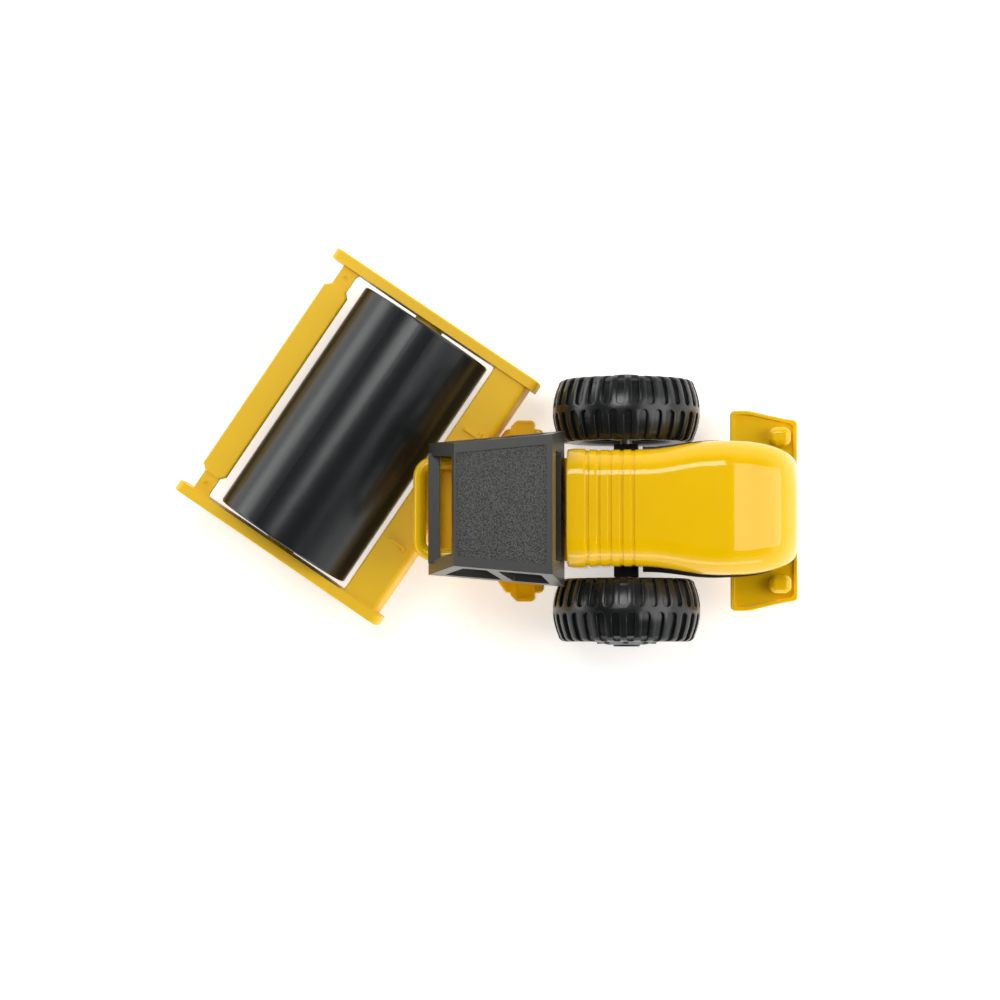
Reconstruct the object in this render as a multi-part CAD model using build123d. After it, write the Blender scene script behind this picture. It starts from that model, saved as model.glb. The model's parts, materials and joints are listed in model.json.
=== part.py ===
from build123d import *
import math
import os

# Toy single-drum soil compactor, an articulated road roller, in millimetres.
#
# Every piece is drawn with the machine straight: the hitch pin stands on the
# origin of the plan, the drum is ahead of it along -Y, the tractor is behind
# it along +Y, the machine's left is +X and the ground is Z = 0. At the end the
# drum module is swung to its right-hand steering stop, which is the rest pose,
# and the whole machine is centred over the origin.

# ------------------------------------------------------------ driving sizes
# Drum
drum_radius = 18.8
drum_length = 65.9
drum_wall = 1.6
drum_seam_angle = 18.5      # degrees from the top towards the front
seam_chamfer = 0.12
drum_edge_round = 0.6
disc_thickness = 2.0
disc_recess = 0.6           # how far the end discs sit inside the shells
disc_hub_radius = 3.4
disc_hub_length = 6.0
disc_ring_depth = 0.5       # shallow ring between the disc's rim and its hub
disc_ring_margin = 2.5
drum_pin_radius = 1.5
drum_pin_head_radius = 2.6
drum_pin_head_thickness = 0.8
drum_pin_head_chamfer = 0.25
drum_pin_end_gap = 0.5      # hub's inner end past the pin

# Drum yoke
drum_end_gap = 1.45         # drum end to the inner face of a side plate
plate_thickness = 2.8
plate_rise = 7.2            # top of the side plates above the drum axis
plate_drop = 10.3           # bottom of the side plates below the drum axis
plate_end_rise = 4.6        # the plates' ends start this far below the axis
plate_front_overhang = 2.4
plate_rear_overhang = 2.0
boss_radius = 4.05
boss_round = 0.3
beam_depth = 9.7            # rear beam, front to back
beam_gap = 1.9              # rear beam to the drum
bar_depth = 7.0             # front bar, front to back
bar_gap = 1.65              # front bar to the drum
bar_neck_reach = 5.6        # length of the narrow neck at each end of the bar
bar_neck_front_step = 1.5
bar_neck_rear_step = 1.2
bar_neck_ramp = 1.3
dimple_radius = 0.65
dimple_depth = 0.35
beam_rise = 6.5             # top of the beam and of the bar above the axis
beam_drop = 7.2
yoke_wall = 1.6
bar_skin = 2.0              # top of the front bar, open below and behind
neck_drop = 0.5             # top of the necks below the bar's top
opening_corner_radius = 1.4
rib_width = 0.9
rib_height = 0.6
rib_length = 4.8
rib_foot = 1.5              # the short leg of each rib
rib_round = 0.25
plate_foot_half_length = 13.5
plate_corner_radius = 2.2
beam_round = 1.5
rib_spacing = 33.8          # between the two ribs on the rear beam
yoke_round = 0.5

# Hitch
steering_stop = 34.2        # degrees each way from straight ahead
hitch_radius = 4.2          # rounded ends of the tongue and of the ears
hitch_below_axle = 0.75
hitch_pin_radius = 1.6
hitch_pin_head_radius = 2.7
hitch_pin_head_thickness = 1.0
bush_radius = 2.4
tongue_height = 5.4
ear_thickness = 2.8
ear_gap = 0.5
circlip_thickness = 0.6
circlip_radius = 2.5
pin_groove_depth = 0.35
pin_tail = 0.5
circlip_gap = 1.6           # open side of the spring clip

# Wheels
tyre_radius = 18.75
tyre_width = 16.0
tyre_bore_radius = 11.0
tyre_bead_inset = 0.4       # the bead is this much narrower than the sidewalls
crown_drop = 1.4            # the tread is this much lower at its shoulders
shoulder_inset = 1.5        # the shoulders are this far in from the sidewalls
shoulder_fall = 1.75        # the sidewalls start this far below the tread's edge
pockets_per_row = 30
pocket_width = 2.05
pocket_depth = 0.8
tread_rib_half_width = 0.7
axle_radius = 1.5
rim_wall = 1.3
rim_inset = 0.9             # the rim's inner edge sits this far inside the tyre
rim_web_thickness = 1.8
rim_crown = 0.8             # the domed face stands this far past the tyre at its middle
rim_hub_radius = 4.6
wheel_nut_count = 8
wheel_nut_radius = 0.75
wheel_nut_height = 0.2
wheel_nut_circle = 6.8
hub_cap_radius = 3.4
hub_cap_height = 0.45
hub_cap_round = 0.3

# Tractor
swing_gap = 3.08            # yoke corner to the tyres at the steering stop
deck_gap = 1.6              # cab deck above the yoke's side plates
cab_tyre_gap = 2.0          # cab sills above the tyres
chassis_drop = 9.15         # bottom of the chassis below the rear axle
chassis_half_width = 13.0
chassis_rear_inset = 17.2   # ahead of the hood's rear edge
chassis_wall = 1.6
chassis_corner_radius = 1.5
cover_thickness = 1.6
screw_radius = 0.9
screw_head_radius = 1.8
screw_length = 7.0
screw_boss_radius = 2.3
screw_inset = 5.5           # from the chassis' ends
screw_spacing = 17.0        # across the chassis
screw_slot_width = 0.4
screw_slot_depth = 0.3
housing_side = 6.2
housing_overhang = 3.9      # axle housing beyond the chassis, each side
housing_round = 1.0

# Cab
deck_thickness = 2.9
deck_front = 7.0            # ahead of the hitch pin
deck_rear = 24.4            # behind the hitch pin
deck_half_width = 15.6
deck_rim_height = 1.9
deck_rim_width = 2.2
deck_corner_radius = 2.0
cab_front = 8.85            # sill corners, ahead of and behind the hitch pin
cab_rear = 25.4
roof_front = 0.4
roof_rear = 23.7
cab_sill_half_width = 16.6  # at the front corners
roof_half_width = 15.0      # at the front corners
cab_side_flare = 0.088      # sideways per length, front to rear
cab_height = 25.6           # sill underside to the roof
front_beam_inset = 0.23     # behind the sills' front corners
front_beam_depth = 2.85
front_beam_height = 1.8
front_beam_lift = 0.25      # the beam above the handrail
sill_edge_inset = 0.2       # the front opening inside the pillars
pillar_width = 3.2
middle_pillar_width = 2.6
cab_wall = 1.5
sill_wall = 3.2             # thickness of the sills
roof_thickness = 2.2
roof_panel_depth = 0.4
roof_panel_front = 0.5      # the sunk panel inside the roof's edges
roof_panel_side = 2.4
roof_panel_rear = 1.4
roof_panel_corner = 0.9
rear_window_sill = 4.0      # rear window above the sills and below the side windows' top
rear_window_head = 3.0
rear_window_margin = 1.5
window_corner_radius = 0.8
middle_pillar_top = 8.7     # behind the hitch pin
middle_pillar_foot = 11.3
pane_edge = 1.4             # frame above the side windows

# Handrail
rail_tube_radius = 1.65
rail_front = 12.75          # outer face, ahead of the hitch pin
rail_rear = 4.0             # outer face, behind the hitch pin
rail_half_width = 13.2
rail_corner_radius = 3.5
rail_peg_radius = 1.1
rail_peg_depth = 1.5
rail_lift = 0.05            # above the deck

# Cab furniture
console_half_width = 8.6
console_front = 2.6
console_height = 7.0
console_slope = 1.4
console_bevel = 0.9
console_round = 0.5
wheel_ring_radius = 3.6
wheel_ring_tube = 0.5
wheel_spoke_width = 0.8
wheel_spoke_thickness = 0.7
column_radius = 0.8
column_length = 4.5
column_tilt = 35.0
column_seat = 2.0           # depth of the column's foot in the console
column_setback = 1.2        # column's foot ahead of the hitch pin
seat_half_width = 5.2
seat_front = 9.5
seat_depth = 9.0
seat_height = 6.5
seat_back_height = 15.5
seat_back_thickness = 2.6
seat_round = 1.0

# Steps
step_front = 6.6
step_tyre_gap = 2.35        # step's rear face to the tyre
step_reach = 8.0            # beyond the chassis
step_drop = 11.6            # top of the side wings below the deck
step_wing_height = 4.6
tread_front_inset = 4.4     # tread block inside the wings' front and rear faces
tread_rear_inset = 2.2
tread_reach = 10.1
tread_corner_cut = 1.6
tread_rise = 1.6            # the middle block stands above the wings
tread_height = 8.0
tread_recess = 0.4
tread_rim = 0.8
step_round = 1.1            # upright edges of the tread block
step_wing_round = 1.54
step_wing_top_round = 0.7
step_shoulder = 3.6         # the wing's front face runs out this far before it slants
step_corner_length = 0.6
tread_recess_start = 4.04   # from the chassis' side

# Hood and engine bay
hood_gap = 2.0              # behind the deck
hood_step_setback = 4.4     # behind the rear axle, where the skirt steps up and flares
hood_tail_length = 38.8     # from there to the hood's rear edge
hood_chassis_gap = 0.2      # hood's wall to the chassis
hood_flare = 2.1
flare_length = 19.1
hood_corner_setback = 23.1  # the corner starts to round, behind the skirt's step
hood_corner_inset = 6.1     # the rear edge is this much narrower, each side
hood_rise = 15.4            # flat top above the deck's underside
hood_slope_setback = 22.1   # the top starts to slope, behind the skirt's step
hood_slope_length = 9.5
hood_slope_drop = 2.3
hood_tail_rise = 2.6        # the rear edge above the skirt
hood_front_skirt = 5.1      # front skirt below the deck's underside
hood_rear_skirt = 0.9       # rear skirt above the deck's underside
hood_round = 7.0
hood_wall = 1.4
groove_count = 5
groove_setback = 5.0        # first groove behind the hood's front edge
groove_pitch = 2.85
groove_width = 1.0
groove_depth = 0.25
frame_lip_front = 1.2       # the engine frame shows this much past the hood
frame_lip_rear = 0.1
frame_height = 4.0
stand_half_width = 9.0      # foot of the engine frame on the bumper
frame_length = 32.5
grille_thickness = 2.2
grille_side_inset = 1.0     # inside the hood's rear corners
grille_inset = 1.6
grille_slot_count = 5
grille_slot_height = 0.8
grille_slot_depth = 1.0
grille_edge = 1.2

# Rear bumper
bumper_gap = 0.4            # behind the chassis
bumper_overhang = 0.2       # behind the hood
bumper_front_half_width = 25.5
bumper_rear_half_width = 22.9
bumper_bend_inset = 4.6     # the outer edges bend this far from the front
bumper_tail_inset = 3.4     # and straighten this far from the rear
bumper_bend_radius = 10.0
bumper_bend_step = 0.5      # the bend's rear end stands this far out of the rear corner
bumper_lift = 0.6           # above the chassis' bottom
bumper_height = 7.0
bumper_rim_height = 0.6
bumper_rim_width = 1.0
bumper_rim_round = 0.3
bumper_wall = 1.6
bumper_round = 1.2
light_length = 5.6
light_inset = 1.6           # from the bumper's rear edge
light_inner = 16.3
light_outer = 21.1
light_height = 4.6
light_round = 1.9
light_dome_round = 1.6
light_foot = 0.5            # sunk in the bumper's floor
arm_half_width = 8.0        # arm that ties the bumper to the chassis
arm_lift = 1.0
arm_reach = 2.0

# Fits
running_gap = 0.06          # shaft in a bore, on the radius
side_gap = 0.4              # faces that turn past each other
seat_gap = 0.05             # faces of pieces that are fitted together
ear_setback = 0.3           # chassis behind the ears' rounded ends
overlap = 0.2               # walls of one moulding run into each other by this much
past = 1.0                  # a cutter reaches this far past the face that it opens

# ---------------------------------------------------------- derived layout
beam_rear = hitch_radius + ear_gap
beam_front = beam_rear + beam_depth
drum_axle_reach = beam_front + beam_gap + drum_radius
bar_rear = drum_axle_reach + drum_radius + bar_gap
bar_front = bar_rear + bar_depth
plate_front = bar_front + plate_front_overhang
plate_rear = beam_rear - plate_rear_overhang
plate_inner = drum_length / 2 + drum_end_gap
plate_outer = plate_inner + plate_thickness
plate_top = drum_radius + plate_rise
beam_top = drum_radius + beam_rise
beam_bottom = drum_radius - beam_drop

stop = math.radians(steering_stop)
swing_corner = plate_outer * math.sin(stop) - plate_rear * math.cos(stop)
rear_axle_reach = swing_corner + swing_gap + tyre_radius
hitch_height = tyre_radius - hitch_below_axle
chassis_front = hitch_radius + ear_setback
chassis_bottom = tyre_radius - chassis_drop
cab_to_axle = rear_axle_reach - cab_rear
tyre_under_cab = tyre_radius + math.sqrt(max(tyre_radius**2 - cab_to_axle**2, 0))
deck_bottom = max(
    plate_top + deck_gap, tyre_under_cab + cab_tyre_gap - deck_rim_height - deck_thickness
)
deck_top = deck_bottom + deck_thickness
sill_bottom = deck_top + deck_rim_height
rail_height = deck_top + rail_lift + rail_tube_radius
sill_top = rail_height + rail_tube_radius + front_beam_lift + front_beam_height
roof_top = sill_bottom + cab_height
housing_half_length = chassis_half_width + housing_overhang
tyre_inner = housing_half_length + side_gap
tyre_middle = tyre_inner + tyre_width / 2
hood_half_width = chassis_half_width + hood_chassis_gap + hood_wall
grille_half_width = hood_half_width + hood_flare - hood_corner_inset - grille_side_inset
hood_top = deck_bottom + hood_rise
hood_front_bottom = deck_bottom - hood_front_skirt
hood_rear_bottom = deck_bottom + hood_rear_skirt
hood_front = deck_rear + hood_gap
hood_step = rear_axle_reach + hood_step_setback
hood_rear = hood_step + hood_tail_length
hood_flare_end = hood_step + flare_length
hood_corner_start = hood_step + hood_corner_setback
hood_slope_start = hood_step + hood_slope_setback
hood_slope_end = hood_slope_start + hood_slope_length
frame_rear = hood_step + frame_length
chassis_rear = hood_rear - chassis_rear_inset
bumper_front = chassis_rear + bumper_gap
bumper_rear = hood_rear + bumper_overhang
bumper_bottom = chassis_bottom + bumper_lift
bumper_top = bumper_bottom + bumper_height
light_rear = bumper_rear - light_inset
step_rear = rear_axle_reach - tyre_radius - step_tyre_gap
console_rear = rail_rear - 2 * rail_tube_radius - side_gap


# ---------------------------------------------------------------- helpers
def block(x0, x1, y0, y1, z0, z1):
    """Box between two corners."""
    centre = Pos((x0 + x1) / 2, (y0 + y1) / 2, (z0 + z1) / 2)
    return centre * Box(x1 - x0, y1 - y0, z1 - z0)


def post(x, y, z0, z1, radius):
    """Upright cylinder."""
    return Pos(x, y, (z0 + z1) / 2) * Cylinder(radius, z1 - z0)


def bar_across(x0, x1, y, z, radius):
    """Cylinder along X."""
    return Pos((x0 + x1) / 2, y, z) * Rot(0, 90, 0) * Cylinder(radius, x1 - x0)


def plan_prism(points, z0, z1):
    """Upright prism on an outline of (x, y) points."""
    outline = make_face(Polyline(*points, close=True))
    return Pos(0, 0, z0) * extrude(outline, z1 - z0)


def side_face(points, rounds=0.0):
    """Flat face in the YZ plane on (y, z) points, its corners rounded."""
    face = make_face(Polyline(*points, close=True))
    if rounds:
        face = fillet(face.vertices(), rounds)
    return Plane.YZ * face


def side_prism(face, x0, x1):
    """Prism along X on a face in the YZ plane."""
    return Pos(x0, 0, 0) * extrude(face, x1 - x0)


def both_sides(shape):
    """The shape and its mirror image across the centre plane."""
    return shape + mirror(shape, about=Plane.YZ)


def upright_edges(shape):
    """Edges that run along Z."""
    return shape.edges().filter_by(Axis.Z)


# -------------------------------------------------------------------- drum
drum_place = Pos(0, -drum_axle_reach, drum_radius)


def drum_shell(side):
    """Half of the drum's skin: side is 1 for the front half, -1 for the rear."""
    half_length = drum_length / 2
    tube = bar_across(-half_length, half_length, 0, 0, drum_radius)
    tube = fillet(tube.edges(), drum_edge_round)
    tube -= bar_across(-drum_length, drum_length, 0, 0, drum_radius - drum_wall)
    reach = drum_length + 2 * past
    half_space = Box(reach, 2 * drum_radius, 4 * drum_radius)
    half_space = Rot(drum_seam_angle, 0, 0) * Pos(0, -side * drum_radius, 0) * half_space
    shell = tube & half_space
    groove_side = seam_chamfer * math.sqrt(2)
    for turn in (0, 180):
        groove = Pos(0, 0, drum_radius) * Rot(45, 0, 0) * Box(reach, groove_side, groove_side)
        shell -= Rot(drum_seam_angle + turn, 0, 0) * groove
    return drum_place * shell


def drum_disc():
    """Left end disc, with the hub that turns on the drum pin."""
    outer = drum_length / 2 - disc_recess
    disc = bar_across(outer - disc_thickness, outer, 0, 0, drum_radius - drum_wall)
    disc += bar_across(drum_length / 2 - disc_hub_length, drum_length / 2, 0, 0, disc_hub_radius)
    ring_bottom = outer - disc_ring_depth
    ring_radius = drum_radius - drum_wall - disc_ring_margin
    ring_outer = bar_across(ring_bottom, outer + past, 0, 0, ring_radius)
    ring_inner = bar_across(ring_bottom, outer + past, 0, 0, disc_hub_radius + disc_ring_margin)
    disc -= ring_outer - ring_inner
    disc -= bar_across(0, drum_length, 0, 0, drum_pin_radius + running_gap)
    return drum_place * disc


def drum_pin():
    """Left stub pin, pressed through the side plate, that the drum turns on."""
    head_inner = plate_outer - drum_pin_head_thickness
    shank_end = drum_length / 2 - disc_hub_length + drum_pin_end_gap
    pin = bar_across(shank_end, plate_outer, 0, 0, drum_pin_radius)
    head = bar_across(head_inner, plate_outer, 0, 0, drum_pin_head_radius)
    head = chamfer(head.faces().sort_by(Axis.X)[-1].edges(), drum_pin_head_chamfer)
    return drum_place * (pin + head)


# -------------------------------------------------------------- drum yoke
def yoke_side_plate():
    """Left side plate with its axle boss."""
    end_bottom = drum_radius - plate_end_rise
    foot = drum_radius - plate_drop
    outline = [
        (-plate_front, end_bottom),
        (-plate_front, plate_top),
        (-plate_rear, plate_top),
        (-plate_rear, end_bottom),
        (-drum_axle_reach + plate_foot_half_length, foot),
        (-drum_axle_reach - plate_foot_half_length, foot),
    ]
    plate = side_prism(side_face(outline, plate_corner_radius), plate_inner, plate_outer)
    plate = fillet(plate.faces().sort_by(Axis.X)[-1].edges(), yoke_round)
    boss_face = drum_length / 2 + side_gap / 2
    boss = bar_across(boss_face, plate_inner + overlap, 0, 0, boss_radius)
    boss = fillet(boss.faces().sort_by(Axis.X)[0].edges(), boss_round)
    return plate + drum_place * boss


def yoke_beam():
    """Rear cross beam, hollow from below, with its two short ribs."""
    solid = block(-plate_inner, plate_inner, -beam_front, -beam_rear, beam_bottom, beam_top)
    top_edges = solid.edges().filter_by(Axis.X).group_by(Axis.Z)[-1].sort_by(Axis.Y)
    solid = fillet(top_edges[-1], beam_round)
    top_edges = solid.edges().filter_by(Axis.X).group_by(Axis.Z)[-1].sort_by(Axis.Y)
    solid = fillet(top_edges[0], yoke_round)
    hollow = block(
        -plate_inner + yoke_wall,
        plate_inner - yoke_wall,
        -beam_front + yoke_wall,
        -beam_rear - yoke_wall,
        beam_bottom - past,
        beam_top - yoke_wall,
    )
    core = block(
        -hitch_radius - yoke_wall,
        hitch_radius + yoke_wall,
        -beam_front,
        -beam_rear,
        beam_bottom - past,
        beam_top,
    )
    solid -= hollow - core
    rib_y = -(beam_front + beam_rear) / 2
    rib = block(
        rib_spacing / 2 - rib_width / 2,
        rib_spacing / 2 + rib_width / 2,
        rib_y - rib_length / 2,
        rib_y + rib_length / 2,
        beam_top - overlap,
        beam_top + rib_height,
    )
    rib += block(
        rib_spacing / 2 - rib_width / 2,
        rib_spacing / 2 + rib_foot,
        rib_y + rib_length / 2 - rib_width,
        rib_y + rib_length / 2,
        beam_top - overlap,
        beam_top + rib_height,
    )
    rib = fillet(rib.faces().sort_by(Axis.Z)[-1].edges(), rib_round)
    return solid + both_sides(rib)


def yoke_bar():
    """Front cross bar, open below and behind, with a low narrow neck at each end."""
    neck_start = plate_inner - bar_neck_reach
    block_end = neck_start - bar_neck_ramp
    front = -bar_front
    rear = -bar_rear
    right_half = [
        (block_end, front),
        (neck_start, front + bar_neck_front_step),
        (plate_inner, front + bar_neck_front_step),
        (plate_inner, rear - bar_neck_rear_step),
        (neck_start, rear - bar_neck_rear_step),
        (block_end, rear),
    ]
    left_half = [(-x, y) for x, y in reversed(right_half)]
    bar = plan_prism(right_half + left_half, beam_bottom, beam_top)
    bar = fillet(bar.faces().sort_by(Axis.Z)[-1].edges(), yoke_round)
    bar -= block(
        -plate_inner,
        plate_inner,
        front + bar_neck_front_step + yoke_wall,
        rear + past,
        beam_bottom - past,
        beam_top - bar_skin,
    )
    neck_top = beam_top - neck_drop
    lowered = block(
        neck_start, plate_inner + past, front - past, rear + past, neck_top, beam_top + past
    )
    dimple_y = (front + bar_neck_front_step + rear - bar_neck_rear_step) / 2
    dimple_x = neck_start + bar_neck_reach / 2
    dimple = post(dimple_x, dimple_y, neck_top - dimple_depth, neck_top + past, dimple_radius)
    return bar - both_sides(lowered) - both_sides(dimple)


def opening_corner(y, turn, z0, z1):
    """Fills a left corner of the drum's opening; turn is 1 in front and -1 behind."""
    r = opening_corner_radius
    y_in = y + turn * r
    corner = block(plate_inner - r, plate_inner, min(y, y_in), max(y, y_in), z0, z1)
    return corner - post(plate_inner - r, y_in, z0 - past, z1 + past, r)


def tongue():
    """Hitch tongue between the tractor's ears."""
    z0 = hitch_height - tongue_height / 2
    z1 = hitch_height + tongue_height / 2
    solid = block(-hitch_radius, hitch_radius, -beam_rear - overlap, 0, z0, z1)
    return solid + post(0, 0, z0, z1, hitch_radius)


def drum_yoke():
    """One moulding: two side plates, rear beam, front bar and hitch tongue."""
    yoke = both_sides(yoke_side_plate()) + yoke_beam() + yoke_bar() + tongue()
    neck_rear = -bar_rear - bar_neck_rear_step
    neck_top = beam_top - neck_drop
    yoke += both_sides(opening_corner(neck_rear, 1, beam_top - bar_skin, neck_top))
    yoke += both_sides(opening_corner(-beam_front, -1, beam_bottom, beam_top - yoke_round))
    yoke -= drum_place * bar_across(-plate_outer - past, plate_outer + past, 0, 0, drum_pin_radius)
    recess = bar_across(
        plate_outer - drum_pin_head_thickness, plate_outer + past, 0, 0, drum_pin_head_radius
    )
    yoke -= both_sides(drum_place * recess)
    return yoke - post(0, 0, 0, beam_top + past, bush_radius)


def hitch_bush():
    """Plain bush pressed in the tongue."""
    z0 = hitch_height - tongue_height / 2
    z1 = hitch_height + tongue_height / 2
    return post(0, 0, z0, z1, bush_radius) - post(0, 0, z0, z1, hitch_pin_radius + running_gap)


# ------------------------------------------------------------ rear wheels
def tyre_section(lowered=0.0):
    """Section of a tyre, x across from its middle plane and y outwards."""
    half = tyre_width / 2
    shoulder = half - shoulder_inset
    top = tyre_radius - lowered
    edge = top - crown_drop
    wall_top = edge - shoulder_fall
    crown = ThreePointArc((-shoulder, edge), (0, top), (shoulder, edge))
    bend = shoulder + shoulder_inset * math.sqrt(0.5)
    bend_top = edge - shoulder_fall * (1 - math.sqrt(0.5))
    right = ThreePointArc((shoulder, edge), (bend, bend_top), (half, wall_top))
    left = ThreePointArc((-half, wall_top), (-bend, bend_top), (-shoulder, edge))
    bead = half - tyre_bead_inset
    rest = Polyline(right @ 1, (bead, tyre_bore_radius), (-bead, tyre_bore_radius), left @ 0)
    return make_face([crown, right, rest, left])


def tyre_ring(lowered=0.0):
    """Turned tyre about the X axis, without its tread pockets."""
    return revolve(Plane.XZ * tyre_section(lowered), Axis.X)


def tread_pocket():
    """Cutter for one pocket at the top: open over the shoulder, round at the rib."""
    length = tyre_width / 2 - tread_rib_half_width
    start = tread_rib_half_width + pocket_width / 2
    outline = Pos(start, 0) * Circle(pocket_width / 2)
    outline += Pos(start + length / 2, 0) * Rectangle(length, pocket_width)
    depth = crown_drop + pocket_depth + past
    return Pos(0, 0, tyre_radius - depth) * extrude(outline, depth + past)


def tyre(side):
    """Tyre with two staggered rows of tread pockets: side is 1 on the left."""
    pitch = 360 / pockets_per_row
    pockets = []
    for index in range(pockets_per_row):
        outer = Rot(index * pitch, 0, 0) * tread_pocket()
        inner = Rot((index + 0.5) * pitch, 0, 0) * mirror(tread_pocket(), about=Plane.YZ)
        pockets += [outer, inner]
    ring = tyre_ring()
    core = tyre_ring(pocket_depth)
    treaded = ring - pockets
    return Pos(side * tyre_middle, rear_axle_reach, tyre_radius) * (treaded + core)


rim_edge = tyre_width / 2 - tyre_bead_inset
rim_lip = tyre_bore_radius - rim_wall / 2
rim_face = tyre_width / 2 + rim_crown
rim_slope = (rim_face - rim_edge) / (rim_lip - rim_hub_radius)


def rim(side):
    """Wheel rim with a shallow domed face, a hub and a ring of wheel nuts."""
    inner = -tyre_width / 2 + rim_inset
    profile = [
        (rim_edge, tyre_bore_radius),
        (rim_edge, rim_lip),
        (rim_face, rim_hub_radius),
        (rim_face, 0),
        (inner, 0),
        (inner, tyre_bore_radius),
    ]
    wheel = revolve(Plane.XZ * make_face(Polyline(*profile, close=True)), Axis.X)
    web = rim_edge - rim_web_thickness
    well = bar_across(inner - past, web, 0, 0, tyre_bore_radius - rim_wall)
    wheel -= well - bar_across(inner - past, web + past, 0, 0, rim_hub_radius)
    nut_reach = rim_edge + rim_slope * (rim_lip - wheel_nut_circle) + wheel_nut_height
    for index in range(wheel_nut_count):
        nut = bar_across(web, nut_reach, 0, wheel_nut_circle, wheel_nut_radius)
        wheel += Rot(index * 360 / wheel_nut_count, 0, 0) * nut
    wheel -= bar_across(-tyre_width, tyre_width, 0, 0, axle_radius)
    if side < 0:
        wheel = mirror(wheel, about=Plane.YZ)
    return Pos(side * tyre_middle, rear_axle_reach, tyre_radius) * wheel


def hub_cap(side):
    """Round cap over the end of the axle."""
    cap = bar_across(rim_face, rim_face + hub_cap_height, 0, 0, hub_cap_radius)
    cap = fillet(cap.faces().sort_by(Axis.X)[-1].edges(), hub_cap_round)
    if side < 0:
        cap = mirror(cap, about=Plane.YZ)
    return Pos(side * tyre_middle, rear_axle_reach, tyre_radius) * cap


def rear_axle():
    """Steel axle pressed into both rims."""
    reach = tyre_middle + rim_face
    return bar_across(-reach, reach, rear_axle_reach, tyre_radius, axle_radius)


# ---------------------------------------------------------- chassis, hitch
upper_ear = hitch_height + tongue_height / 2 + side_gap
lower_ear = hitch_height - tongue_height / 2 - side_gap - ear_thickness
screw_places = [
    (side * screw_spacing / 2, y)
    for side in (-1, 1)
    for y in (chassis_front + screw_inset, chassis_rear - screw_inset)
]


def rear_chassis():
    """Tub, open below, with the two hitch ears in front."""
    tub = block(
        -chassis_half_width,
        chassis_half_width,
        chassis_front,
        chassis_rear,
        chassis_bottom,
        deck_bottom,
    )
    tub = fillet(upright_edges(tub), chassis_corner_radius)
    tub -= block(
        -chassis_half_width + chassis_wall,
        chassis_half_width - chassis_wall,
        chassis_front + chassis_wall,
        chassis_rear - chassis_wall,
        chassis_bottom - past,
        deck_bottom - chassis_wall,
    )
    for x, y in screw_places:
        tub += post(x, y, chassis_bottom, deck_bottom - chassis_wall / 2, screw_boss_radius)
        tub -= post(x, y, chassis_bottom - past, chassis_bottom + screw_length, screw_radius)
    for z0 in (upper_ear, lower_ear):
        z1 = z0 + ear_thickness
        ear = block(-hitch_radius, hitch_radius, 0, chassis_front + overlap, z0, z1)
        tub += ear + post(0, 0, z0, z1, hitch_radius)
    tub -= post(0, 0, 0, upper_ear + ear_thickness + past, hitch_pin_radius)
    tub -= block(
        -chassis_half_width - past,
        chassis_half_width + past,
        rear_axle_reach - housing_side / 2,
        rear_axle_reach + housing_side / 2,
        chassis_bottom - past,
        tyre_radius + housing_side / 2,
    )
    return tub


def chassis_cover():
    """Flat plate that closes the tub from below."""
    z0 = chassis_bottom - cover_thickness
    plate = block(
        -chassis_half_width,
        chassis_half_width,
        chassis_front,
        chassis_rear,
        z0,
        chassis_bottom,
    )
    plate = fillet(upright_edges(plate), chassis_corner_radius)
    for x, y in screw_places:
        plate -= Pos(x, y, z0) * countersunk_screw()
    return plate


def countersunk_screw():
    """Screw pointing up, its flat head flush with the origin's plane."""
    head_height = screw_head_radius - screw_radius
    shank = post(0, 0, 0, screw_length, screw_radius)
    head = Pos(0, 0, head_height / 2) * Cone(screw_head_radius, screw_radius, head_height)
    return shank + head


def cover_screws():
    """Four screws that hold the chassis cover."""
    z0 = chassis_bottom - cover_thickness
    half = screw_slot_width / 2
    slot = block(-screw_head_radius, screw_head_radius, -half, half, -past, screw_slot_depth)
    screw = countersunk_screw() - slot - Rot(0, 0, 90) * slot
    return [Pos(x, y, z0) * screw for x, y in screw_places]


def hitch_pin():
    """Headed steel pin through both ears and the tongue's bush."""
    top = upper_ear + ear_thickness
    bottom = lower_ear - circlip_thickness - pin_tail
    pin = post(0, 0, bottom, top, hitch_pin_radius)
    pin += post(0, 0, top, top + hitch_pin_head_thickness, hitch_pin_head_radius)
    groove = post(0, 0, lower_ear - circlip_thickness, lower_ear, circlip_radius)
    groove -= post(0, 0, 0, top, hitch_pin_radius - pin_groove_depth)
    return pin - groove


def hitch_circlip():
    """Spring clip in the pin's groove, under the lower ear."""
    z0 = lower_ear - circlip_thickness
    clip = post(0, 0, z0, lower_ear, circlip_radius)
    clip -= post(0, 0, z0 - past, lower_ear + past, hitch_pin_radius - pin_groove_depth)
    half = circlip_gap / 2
    return clip - block(-half, half, 0, circlip_radius + past, z0 - past, lower_ear + past)


def axle_housing():
    """Square cross tube that the rear axle turns in."""
    half = housing_side / 2
    tube = block(
        -housing_half_length,
        housing_half_length,
        rear_axle_reach - half,
        rear_axle_reach + half,
        tyre_radius - half,
        tyre_radius + half,
    )
    tube = fillet(tube.edges().filter_by(Axis.X).group_by(Axis.Z)[0], housing_round)
    reach = housing_half_length + past
    return tube - bar_across(-reach, reach, rear_axle_reach, tyre_radius, axle_radius + running_gap)


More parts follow.
